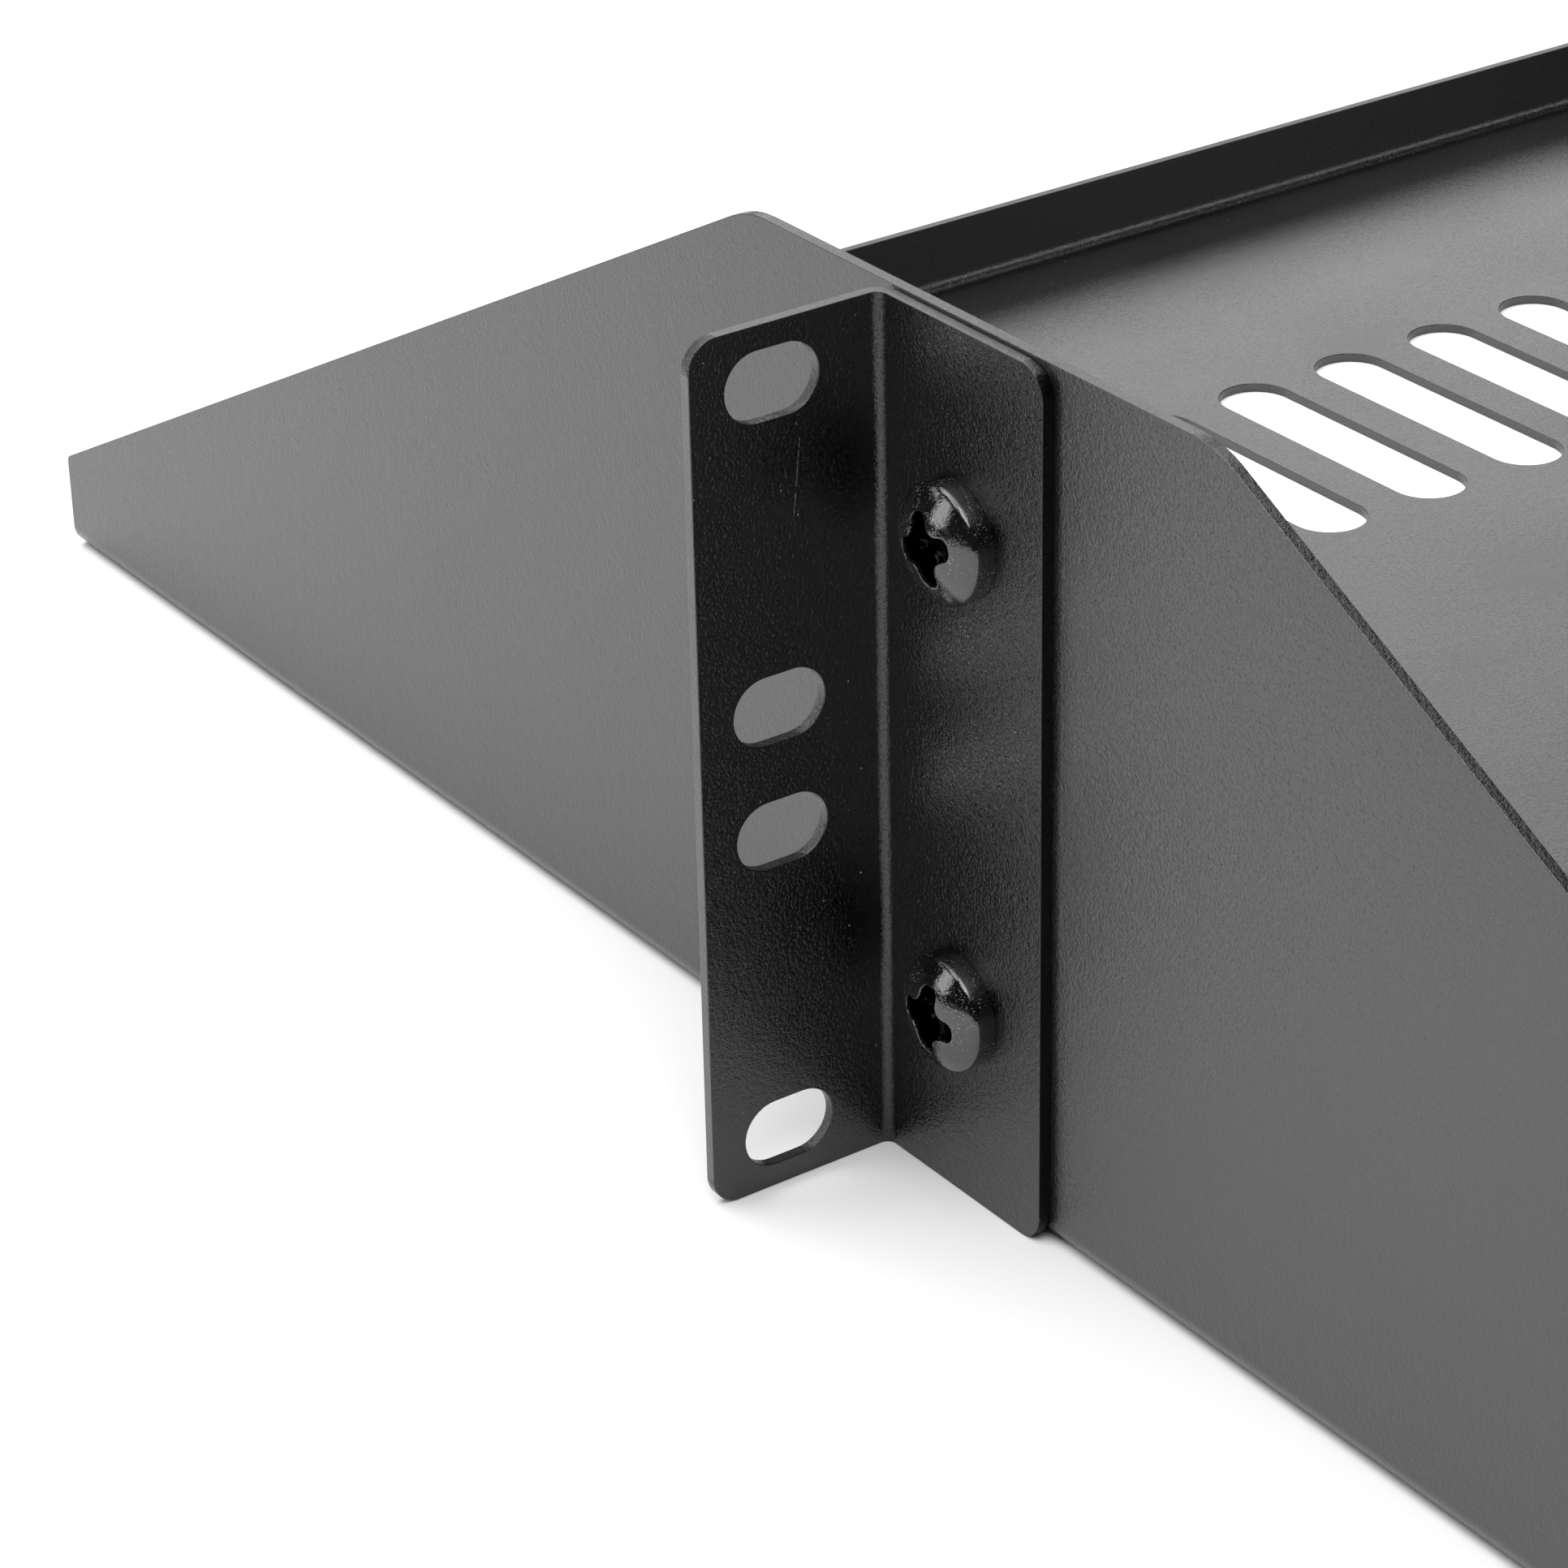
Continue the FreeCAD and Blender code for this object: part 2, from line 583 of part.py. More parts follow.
os.makedirs("parts", exist_ok=True)
for item in parts:
    item.Shape.exportStep("parts/%s.step" % item.Label)
    box = item.Shape.BoundBox
    print("%-18s volume %9.1f  x %7.2f %7.2f  y %7.2f %7.2f  z %6.2f %6.2f" % (
        item.Label, item.Shape.Volume, box.XMin, box.XMax, box.YMin, box.YMax, box.ZMin, box.ZMax))
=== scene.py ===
import math

import bmesh
import bpy
from mathutils import Matrix, Vector


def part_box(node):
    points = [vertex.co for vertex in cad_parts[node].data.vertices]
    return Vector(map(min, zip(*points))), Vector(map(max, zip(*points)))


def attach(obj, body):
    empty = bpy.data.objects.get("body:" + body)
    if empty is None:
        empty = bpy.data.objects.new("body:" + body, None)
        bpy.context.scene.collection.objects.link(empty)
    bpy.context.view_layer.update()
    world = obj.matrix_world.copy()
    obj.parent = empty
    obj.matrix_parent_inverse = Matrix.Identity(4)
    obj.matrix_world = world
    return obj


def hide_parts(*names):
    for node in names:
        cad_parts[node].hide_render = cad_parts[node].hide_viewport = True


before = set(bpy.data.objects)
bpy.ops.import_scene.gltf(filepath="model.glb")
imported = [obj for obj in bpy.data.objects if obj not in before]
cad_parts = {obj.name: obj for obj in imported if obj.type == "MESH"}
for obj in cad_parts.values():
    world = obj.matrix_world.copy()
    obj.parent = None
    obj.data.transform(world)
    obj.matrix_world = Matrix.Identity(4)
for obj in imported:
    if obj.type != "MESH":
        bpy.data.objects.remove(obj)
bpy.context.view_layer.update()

scene = bpy.context.scene
scene.view_settings.view_transform = "Standard"
mm = 0.001


# Camera, at the photograph's angle
cameraSettings = {
    "place": (-0.45419, -0.31154, 0.25005),
    "right": (0.81746759, -0.57560101, -0.02074182),
    "up": (0.28478044, 0.37261825, 0.88320764),
    "lens": 111.91,
    "sensor": 36.0,
    "clip": (0.01, 50.0),
}


def makeCamera(s):
    data = bpy.data.cameras.new("camera")
    data.lens, data.sensor_width = s["lens"], s["sensor"]
    data.clip_start, data.clip_end = s["clip"]
    camera = bpy.data.objects.new("camera", data)
    scene.collection.objects.link(camera)
    right, up = Vector(s["right"]), Vector(s["up"])
    turn = Matrix((right, up, right.cross(up))).transposed()
    camera.matrix_world = Matrix.Translation(s["place"]) @ turn.to_4x4()
    scene.camera = camera


makeCamera(cameraSettings)
print("camera placed")


# Circles and bends
def evenTurns(count):
    return [2 * math.pi * i / count for i in range(count)]


def circleRing(radius, height, columns):
    return [(radius * math.cos(t), radius * math.sin(t), height) for t in evenTurns(columns)]


def quarterBends(steps):
    return [math.radians(90 * step / steps) for step in range(steps + 1)]


# Node helpers
def setSocket(tree, socket, value):  # by a link or a plain value, and None leaves it alone
    if isinstance(value, bpy.types.NodeSocket):
        tree.links.new(value, socket)
    elif value is not None:
        socket.default_value = value


def setSockets(tree, node, values):
    for label, value in values.items():
        setSocket(tree, node.inputs[label], value)


def newGroup(kind, name, inputs, outputs):
    tree = bpy.data.node_groups.new(name, kind)
    for label, socketKind, value in inputs:
        socket = tree.interface.new_socket(label, in_out="INPUT", socket_type=socketKind)
        if value is not None:
            socket.default_value = value
    for label, socketKind in outputs:
        tree.interface.new_socket(label, in_out="OUTPUT", socket_type=socketKind)
    return tree, tree.nodes.new("NodeGroupInput"), tree.nodes.new("NodeGroupOutput")


def addGroup(tree, group, vector, values):
    node = tree.nodes.new("ShaderNodeGroup")
    node.node_tree = group
    setSockets(tree, node, {"Vector": vector, **values})
    return node


def addMath(tree, operation, first, second=None, third=None, clamp=False):
    node = tree.nodes.new("ShaderNodeMath")
    node.operation, node.use_clamp = operation, clamp
    for socket, value in zip(node.inputs, (first, second, third)):
        setSocket(tree, socket, value)
    return node.outputs[0]


def addVector(tree, operation, first, second=None, scale=None):
    node = tree.nodes.new("ShaderNodeVectorMath")
    node.operation = operation
    for socket, value in zip(node.inputs, (first, second, None, scale)):
        setSocket(tree, socket, value)
    oneNumber = operation in ("LENGTH", "DISTANCE", "DOT_PRODUCT")
    return node.outputs["Value" if oneNumber else "Vector"]


def addRange(tree, value, low, high, outLow=0.0, outHigh=1.0, smooth=False):
    node = tree.nodes.new("ShaderNodeMapRange")
    node.interpolation_type = "SMOOTHSTEP" if smooth else "LINEAR"
    setSockets(tree, node, {
        "Value": value, "From Min": low, "From Max": high, "To Min": outLow, "To Max": outHigh})
    return node.outputs["Result"]


def addNoise(tree, vector, scale, detail=2.0, rough=0.5, warp=0.0):
    node = tree.nodes.new("ShaderNodeTexNoise")
    setSockets(tree, node, {
        "Vector": vector, "Scale": scale, "Detail": detail, "Roughness": rough, "Distortion": warp})
    return node.outputs["Fac"]


def addMix(tree, share, low, high):
    node = tree.nodes.new("ShaderNodeMix")
    node.data_type = "RGBA"
    tree.links.new(share, node.inputs["Factor"])
    for label, value in (("A", low), ("B", high)):
        socket = [x for x in node.inputs if x.name == label and x.type == "RGBA"][0]
        setSocket(tree, socket, value + (1,) if isinstance(value, tuple) else value)
    return [x for x in node.outputs if x.type == "RGBA"][0]


def addBump(tree, shader, height, strength, distance):
    node = tree.nodes.new("ShaderNodeBump")
    setSockets(tree, node, {"Strength": strength, "Distance": distance, "Height": height})
    tree.links.new(node.outputs["Normal"], shader.inputs["Normal"])


def newFinish(name):
    finish = bpy.data.materials.new(name)
    finish.use_nodes = True
    tree = finish.node_tree
    place = tree.nodes.new("ShaderNodeTexCoord").outputs["Object"]
    return finish, tree, tree.nodes["Principled BSDF"], place


# Studio: a pale floor and large soft panels, most of the light from behind
studioSettings = {
    "floorRadius": 1.9,
    "floorSides": 96,
    "floorFade": 0.9,  # the width of the rim where the floor fades out
    "floorShade": (0.9, 0.9, 0.9, 1),
    "floorRoughness": 0.9,
    "panels": [  # name, azimuth from +X, elevation, width, height, brightness
        ("farRightPanel", 35, 22, 0.96, 0.9, 1.45),
        ("backRightPanel", 60, 22, 0.96, 0.9, 2.2),
        ("backPanel", 90, 22, 0.96, 0.9, 1.0),
        ("backLeftPanel", 120, 22, 0.96, 0.9, 1.5),
        ("farLeftPanel", 152, 19, 1.1, 1.05, 3.4),
        ("frontRightPanel", 315, 22, 1.4, 0.9, 1.9),
        ("overRightPanel", 45, 55, 1.5, 1.0, 1.3),
        ("overBackPanel", 100, 55, 1.5, 1.0, 2.35),
        ("overBackLeftPanel", 155, 55, 1.5, 1.0, 3.25),
        ("overLeftPanel", 225, 55, 1.5, 1.0, 4.8),
        ("topPanel", 0, 90, 1.76, 1.76, 2.7),
    ],
    "panelDistance": 2.2,
    "aimHeight": 0.04,  # all panels look at this height over the floor's middle
}


def makeFloor(s):
    reach, sides = s["floorRadius"], s["floorSides"]
    mesh = bpy.data.meshes.new("floor")
    mesh.from_pydata(circleRing(reach, 0.0, sides), [], [list(range(sides))])
    floor = bpy.data.objects.new("floor", mesh)
    scene.collection.objects.link(floor)
    paper, tree, shader, place = newFinish("palePaper")
    away = addVector(tree, "LENGTH", place)
    setSockets(tree, shader, {
        "Base Color": s["floorShade"], "Roughness": s["floorRoughness"], "Specular IOR Level": 0.0,
        "Alpha": addRange(tree, away, reach - s["floorFade"], reach, 1.0, 0.0, smooth=True)})
    mesh.materials.append(paper)


def makeAir():  # a pale room behind the floor that throws no light
    world = bpy.data.worlds.new("studioAir")
    world.use_nodes = True
    tree = world.node_tree
    seen = tree.nodes.new("ShaderNodeLightPath").outputs["Is Camera Ray"]
    setSockets(tree, tree.nodes["Background"], {"Color": (1, 1, 1, 1), "Strength": seen})
    scene.world = world


def makePanel(s, name, azimuth, elevation, width, height, brightness):
    data = bpy.data.lights.new(name, "AREA")
    data.shape, data.size, data.size_y = "RECTANGLE", width, height
    data.energy = brightness * math.pi * width * height
    lamp = bpy.data.objects.new(name, data)
    scene.collection.objects.link(lamp)
    a, e = math.radians(azimuth), math.radians(elevation)
    away = Vector((math.cos(a) * math.cos(e), math.sin(a) * math.cos(e), math.sin(e)))
    lamp.location = away * s["panelDistance"] + Vector((0.0, 0.0, s["aimHeight"]))
    lamp.rotation_mode = "QUATERNION"
    lamp.rotation_quaternion = away.to_track_quat("Z", "Y")


makeFloor(studioSettings)
makeAir()
for panel in studioSettings["panels"]:
    makePanel(studioSettings, *panel)
print("studio lit")


# Shader groups that more than one finish uses
grainSettings = {
    "worms": {"detail": 2.0, "rough": 0.55, "warp": 0.6},
    "crestWidth": 0.16,
    "crestHeight": 0.35,
    "bodyScale": 0.8,  # this and the next are times the grain's scale
    "peelScale": 0.22,
    "peel": {"detail": 1.0, "rough": 0.4},
    "broadScale": 28.0,
    "broad": {"detail": 3.0, "rough": 0.5},
    "bodyShare": 0.35,  # of the shade, and the broad clouds have the rest
    "broadShare": 0.65,
}


def makeCoatGrain(s):  # the fine wormy skin of a baked powder coat
    tree, source, sink = newGroup("ShaderNodeTree", "coatGrain", [
        ("Vector", "NodeSocketVector", None),
        ("Grain Scale", "NodeSocketFloat", 2400.0),
        ("Orange Peel", "NodeSocketFloat", 0.35),
    ], [("Height", "NodeSocketFloat"), ("Shade", "NodeSocketFloat")])
    vector, scale = source.outputs["Vector"], source.outputs["Grain Scale"]
    worms = addNoise(tree, vector, scale, **s["worms"])
    ridged = addMath(tree, "ABSOLUTE", addMath(tree, "SUBTRACT", worms, 0.5))
    crests = addRange(tree, ridged, 0.0, s["crestWidth"], 1.0, 0.0)
    body = addNoise(tree, vector, addMath(tree, "MULTIPLY", scale, s["bodyScale"]))
    fine = addMath(tree, "MULTIPLY_ADD", crests, s["crestHeight"], body)
    peel = addNoise(tree, vector, addMath(tree, "MULTIPLY", scale, s["peelScale"]), **s["peel"])
    height = addMath(tree, "MULTIPLY_ADD", peel, source.outputs["Orange Peel"], fine)
    broad = addNoise(tree, vector, s["broadScale"], **s["broad"])
    clouds = addMath(tree, "MULTIPLY", broad, s["broadShare"])
    shade = addMath(tree, "MULTIPLY_ADD", body, s["bodyShare"], clouds)
    setSockets(tree, sink, {"Height": height, "Shade": shade})
    return tree


def makeDustSpecks():  # a few pale specks of dust, some brighter than others
    tree, source, sink = newGroup("ShaderNodeTree", "dustSpecks", [
        ("Vector", "NodeSocketVector", None),
        ("Spacing", "NodeSocketFloat", 0.0016),
        ("Speck Size", "NodeSocketFloat", 0.05),
        ("Share", "NodeSocketFloat", 0.5),
    ], [("Mask", "NodeSocketFloat")])
    cells = tree.nodes.new("ShaderNodeTexVoronoi")
    setSockets(tree, cells, {
        "Vector": source.outputs["Vector"],
        "Scale": addMath(tree, "DIVIDE", 1.0, source.outputs["Spacing"])})
    split = tree.nodes.new("ShaderNodeSeparateColor")
    tree.links.new(cells.outputs["Color"], split.inputs["Color"])
    size = addMath(tree, "MULTIPLY", source.outputs["Speck Size"], split.outputs["Green"])
    dot = addMath(tree, "LESS_THAN", cells.outputs["Distance"], size)
    kept = addMath(tree, "LESS_THAN", split.outputs["Red"], source.outputs["Share"])
    there = addMath(tree, "MULTIPLY", dot, kept)
    setSockets(tree, sink, {"Mask": addMath(tree, "MULTIPLY", there, split.outputs["Blue"])})
    return tree


scratchSettings = {
    "wearScale": 1800.0,
    "wearBand": (0.35, 0.65),  # of the noise that breaks the line up
}


def makeFineScratch(s):  # one hair-thin rubbed line between two points
    tree, source, sink = newGroup("ShaderNodeTree", "fineScratch", [
        ("Vector", "NodeSocketVector", None),
        ("From", "NodeSocketVector", (0.0, 0.0, 0.0)),
        ("To", "NodeSocketVector", (0.0, 0.0, 0.01)),
        ("Width", "NodeSocketFloat", 0.00008),
    ], [("Mask", "NodeSocketFloat")])
    place, start = source.outputs["Vector"], source.outputs["From"]
    run = addVector(tree, "SUBTRACT", source.outputs["To"], start)
    offset = addVector(tree, "SUBTRACT", place, start)
    along = addMath(tree, "DIVIDE", addVector(tree, "DOT_PRODUCT", offset, run),
                    addVector(tree, "DOT_PRODUCT", run, run), clamp=True)
    away = addVector(tree, "DISTANCE", offset, addVector(tree, "SCALE", run, scale=along))
    line = addRange(tree, away, 0.0, source.outputs["Width"], 1.0, 0.0)
    worn = addRange(tree, addNoise(tree, place, s["wearScale"], 1.0), *s["wearBand"])
    setSockets(tree, sink, {"Mask": addMath(tree, "MULTIPLY", line, worn)})
    return tree


coatGrain, dustSpecks = makeCoatGrain(grainSettings), makeDustSpecks()
fineScratch = makeFineScratch(scratchSettings)


# Finishes
def spreadShade(tree, grain, outLow=0.0, outHigh=1.0, band=(0.35, 0.65)):
    return addRange(tree, grain.outputs["Shade"], *band, outLow, outHigh)


coatSettings = {
    "grain": {"Grain Scale": 2900.0, "Orange Peel": 0.6},
    "specks": {"Spacing": 0.0016, "Speck Size": 0.05},
    "bumpStrength": 1.0,
    "dust": (0.32, 0.32, 0.33),
    "scratchShare": 0.5,  # of the dust's paleness
    "kinds": {  # the tray's coat is a little duller and greyer than the brackets'
        "trayCoat": {
            "dark": (0.003, 0.003, 0.0032), "pale": (0.008, 0.008, 0.0083),
            "roughness": (0.2, 0.28), "specular": 1.0,
            "bumpDistance": 0.00004, "speckShare": 0.1, "scratch": None},
        "deckCoat": {  # on the deck and the lips, rolled flatter than the walls
            "dark": (0.003, 0.003, 0.0032), "pale": (0.008, 0.008, 0.0083),
            "roughness": (0.22, 0.3), "specular": 0.78,
            "bumpDistance": 0.00002, "speckShare": 0.1, "scratch": None},
        "bracketCoat": {
            "dark": (0.0006, 0.0006, 0.0007), "pale": (0.0024, 0.0024, 0.0026),
            "roughness": (0.15, 0.2), "specular": 0.7,
            "bumpDistance": 0.00006, "speckShare": 0.45, "scratch": None},
        "earCoat": {  # on the ears' flat faces, where the coat flowed out smoother
            "dark": (0.0006, 0.0006, 0.0007), "pale": (0.0024, 0.0024, 0.0026),
            "roughness": (0.13, 0.17), "specular": 0.7,
            "bumpDistance": 0.00004, "speckShare": 0.45, "scratch": {
                "From": (-0.22977, 0.0111, 0.0760), "To": (-0.23056, 0.0111, 0.06837),
                "Width": 0.00009}},
        "edgeCoat": {  # on the sheet's cut edges, rougher and touched with dust, and paler as a painted highlight where the rounded edges catch the light
            "dark": (0.03, 0.03, 0.031), "pale": (0.09, 0.09, 0.092),
            "roughness": (0.36, 0.46), "specular": 1.0,
            "bumpDistance": 0.0001, "speckShare": 0.7, "scratch": None},
        "endCoat": {  # on the brackets' cut ends that face front or back: painted shade, a darker copy of the coat with little reflection
            "dark": (0.0004, 0.0004, 0.0005), "pale": (0.0014, 0.0014, 0.0015),
            "roughness": (0.3, 0.4), "specular": 0.15,
            "bumpDistance": 0.00006, "speckShare": 0.45, "scratch": None},
    },
}


def makeCoat(name, s):
    kind = s["kinds"][name]
    finish, tree, shader, place = newFinish(name)
    grain = addGroup(tree, coatGrain, place, s["grain"])
    colour = addMix(tree, spreadShade(tree, grain), kind["dark"], kind["pale"])
    specks = addGroup(tree, dustSpecks, place, {**s["specks"], "Share": kind["speckShare"]})
    mask = specks.outputs["Mask"]
    if kind["scratch"]:
        line = addGroup(tree, fineScratch, place, kind["scratch"]).outputs["Mask"]
        mask = addMath(tree, "MAXIMUM", mask, addMath(tree, "MULTIPLY", line, s["scratchShare"]))
    setSockets(tree, shader, {
        "Base Color": addMix(tree, mask, colour, s["dust"]),
        "Roughness": spreadShade(tree, grain, *kind["roughness"]),
        "Specular IOR Level": kind["specular"]})
    addBump(tree, shader, grain.outputs["Height"], s["bumpStrength"], kind["bumpDistance"])
    return finish


coats = {name: makeCoat(name, coatSettings) for name in coatSettings["kinds"]}


def measureFasteners(kind):  # how far out the left ones reach, their middle height, their spacing
    low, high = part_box("left_lower_" + kind)
    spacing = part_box("left_upper_" + kind)[1].z - high.z
    return -low.x, (low.z + high.z) / 2 + spacing / 2, spacing


screwFinishSettings = {
    "grain": {"Grain Scale": 2600.0, "Orange Peel": 1.0},
    "dark": (0.003, 0.003, 0.0031),
    "pale": (0.009, 0.009, 0.0093),
    "dust": (0.36, 0.36, 0.35),
    "coarseDust": {"Spacing": 0.0007, "Speck Size": 0.08, "Share": 0.8},
    "fineDust": {"Spacing": 0.0002, "Speck Size": 0.42, "Share": 0.9},
    "patchScale": 420.0,  # the fine dust lies in patches
    "patchBand": (0.4, 0.6),
    "patchShares": (0.04, 0.7),
    "roughness": (0.05, 0.12),
    "specular": 1.0,
    "bumpStrength": 0.4,
    "bumpDistance": 0.00003,
    "domeRadius": 8.92 * mm,
    "recessFade": (0.5 * mm, 0.2 * mm),  # below the dome: all recess, no recess
    "recessReach": 3.8 * mm,
}


def addRecessShadeMask(tree, place, s):  # painted shade for the recess, under the dome's sphere and near the screw's axis
    reach, middle, spacing = measureFasteners("screw")
    level = addVector(tree, "SUBTRACT", place, (0.0, 0.0, middle))
    folded = addVector(tree, "ABSOLUTE", level)  # all four screws fall on one
    centre = (reach - s["domeRadius"], 0.0, spacing / 2)
    inward = addVector(tree, "SUBTRACT", folded, centre)
    across = addVector(tree, "LENGTH", addVector(tree, "MULTIPLY", inward, (0.0, 1.0, 1.0)))
    deep, shallow = [s["domeRadius"] - depth for depth in s["recessFade"]]
    under = addRange(tree, addVector(tree, "LENGTH", inward), deep, shallow, 1.0, 0.0)
    near = addMath(tree, "LESS_THAN", across, s["recessReach"])
    return addMath(tree, "MULTIPLY", under, near)


def makeScrewFinish(s):
    finish, tree, shader, place = newFinish("glossyBlackPlating")
    grain = addGroup(tree, coatGrain, place, s["grain"])
    fine, coarse = [addGroup(tree, dustSpecks, place, s[dust]).outputs["Mask"]
                    for dust in ("fineDust", "coarseDust")]
    clouds = addNoise(tree, place, s["patchScale"])
    patches = addRange(tree, clouds, *s["patchBand"], *s["patchShares"])
    dust = addMath(tree, "MAXIMUM", addMath(tree, "MULTIPLY", fine, patches), coarse)
    recessShade = addRecessShadeMask(tree, place, s)
    # painted shade: the recess also loses its pale dust specks
    dust = addMath(tree, "MULTIPLY", dust, addMath(tree, "SUBTRACT", 1.0, recessShade))
    colour = addMix(tree, spreadShade(tree, grain), s["dark"], s["pale"])
    setSockets(tree, shader, {
        "Base Color": addMix(tree, dust, colour, s["dust"]),
        "Roughness": spreadShade(tree, grain, *s["roughness"]),
        "Metallic": recessShade,  # painted shade: the recess turns metallic with the near-black colour, so it shows nearly no glint
        "Specular IOR Level": s["specular"]})
    addBump(tree, shader, grain.outputs["Height"], s["bumpStrength"], s["bumpDistance"])
    return finish


nutFinishSettings = {
    "grain": {"Grain Scale": 3000.0, "Orange Peel": 0.8},
    "dull": (0.42, 0.42, 0.43),
    "bright": (0.62, 0.63, 0.65),
    "shadeBand": (0.3, 0.7),
    "roughness": (0.28, 0.42),
    "bumpStrength": 0.3,
    "bumpDistance": 0.00002,
}


def makeNutFinish(s):
    finish, tree, shader, place = newFinish("zincPlating")
    grain = addGroup(tree, coatGrain, place, s["grain"])
    shade = spreadShade(tree, grain, band=s["shadeBand"])
    setSockets(tree, shader, {
        "Base Color": addMix(tree, shade, s["dull"], s["bright"]),
        "Roughness": spreadShade(tree, grain, *s["roughness"]),
        "Metallic": 1.0})
    addBump(tree, shader, grain.outputs["Height"], s["bumpStrength"], s["bumpDistance"])
    return finish


screwFinish, nutFinish = makeScrewFinish(screwFinishSettings), makeNutFinish(nutFinishSettings)
print("finishes mixed")


# Folded sheet parts: the imported shapes with the soft edges that a thick coat gives cut metal
# cut edges get a painted highlight, and the brackets' cut ends that face front or back get a
# painted shade
bracketFinishes = ("bracketCoat", "earCoat", "bracketCoat", "edgeCoat", "endCoat", "edgeCoat")
shellSettings = {
    "edgeRound": 0.2 * mm,
    "edgeSteps": 3,
    "sharpFrom": 28.0,
    "mergeWithin": 0.001 * mm,
    "flatWithin": 0.004,  # radians
    "flatWeight": 100,  # how strongly large faces stay flat
    "edgeWidth": (1.0 * mm, 1.3 * mm),  # a strip this wide is a cut edge
    "squareShare": 0.98,  # from here on, a face looks along an axis
    "facetShare": 0.7,  # from here on, a small facet looks along y
    "parts": [  # new piece, node that it replaces, and the finishes of its broad faces that look
        # along x, y and z, then of its cut edges that look along x, y and z
        ("trayShell", "shelf_tray",
         ("trayCoat", "deckCoat", "deckCoat", "trayCoat", "trayCoat", "edgeCoat")),
        ("leftBracketShell", "left_bracket", bracketFinishes),
        ("rightBracketShell", "right_bracket", bracketFinishes),
    ],
}


def settle(piece):  # turns what the modifiers give into the piece's own plain mesh
    graph = bpy.context.evaluated_depsgraph_get()
    mesh = bpy.data.meshes.new_from_object(
        piece.evaluated_get(graph), preserve_all_data_layers=True, depsgraph=graph)
    piece.modifiers.clear()
    piece.data = mesh
    mesh.name = piece.name


def adopt(piece, slot, *nodes):
    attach(piece, "root")
    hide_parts(*nodes)


def pickFinish(face, s):  # place in a part's finishes, 0 to 2 broad faces, 3 to 5 cut edges
    narrow, wide = s["edgeWidth"]
    sides = [edge.calc_length() for edge in face.edges]
    facing = [abs(share) for share in face.normal]
    way = facing.index(max(facing))
    if max(sides) < wide:  # a facet of a rounded corner or of a hole
        return 4 if facing[1] > s["facetShare"] else 0
    if facing[way] < s["squareShare"]:
        return 0
    cut = narrow < 2 * face.calc_area() / sum(sides) < wide
    return way + 3 * cut


def makeShell(s, name, node, finishes):
    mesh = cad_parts[node].data.copy()
    kinds = list(dict.fromkeys(finishes))  # each finish once
    sheet = bmesh.new()
    sheet.from_mesh(mesh)
    bmesh.ops.remove_doubles(sheet, verts=sheet.verts, dist=s["mergeWithin"])
    bmesh.ops.dissolve_limit(
        sheet, angle_limit=s["flatWithin"], verts=sheet.verts, edges=sheet.edges)
    for face in sheet.faces:
        face.smooth = True
        face.material_index = kinds.index(finishes[pickFinish(face, s)])
    mesh.materials.clear()
    for kind in kinds:
        mesh.materials.append(coats[kind])
    sheet.to_mesh(mesh)
    sheet.free()
    piece = bpy.data.objects.new(name, mesh)
    scene.collection.objects.link(piece)
    rounded = piece.modifiers.new("softEdges", "BEVEL")
    rounded.width, rounded.segments = s["edgeRound"], s["edgeSteps"]
    rounded.limit_method, rounded.angle_limit = "ANGLE", math.radians(s["sharpFrom"])
    rounded.miter_outer = "MITER_ARC"
    piece.modifiers.new("flatFaces", "WEIGHTED_NORMAL").weight = s["flatWeight"]
    settle(piece)
    adopt(piece, "powder_coat", node)


for part in shellSettings["parts"]:
    makeShell(shellSettings, *part)
print("sheet parts rounded")


# Fasteners: rings of points round an axis, joined into a skin
def skinRings(name, rings, bored=False):  # closed at both ends, or from the last ring to the first
    columns = len(rings[0])
    body = bmesh.new()
    rows = [[body.verts.new(point) for point in ring] for ring in rings]
    nextRows = rows[1:] + rows[:1] if bored else rows[1:]
    for low, high in zip(rows, nextRows):
        for i in range(columns):
            j = (i + 1) % columns
            body.faces.new((low[i], low[j], high[j], high[i]))
    caps = () if bored else ((rows[0], rings[0]), (rows[-1], rings[-1]))
    for row, ring in caps:
        middle = body.verts.new(sum((Vector(point) for point in ring), Vector()) / columns)
        for i in range(columns):
            j = (i + 1) % columns
            outward = (row[j], row[i], middle) if row is rows[0] else (row[i], row[j], middle)
            body.faces.new(outward)
    for face in body.faces:
        face.smooth = True
    bmesh.ops.recalc_face_normals(body, faces=body.faces)
    mesh = bpy.data.meshes.new(name)
    body.to_mesh(mesh)
    body.free()
    return mesh


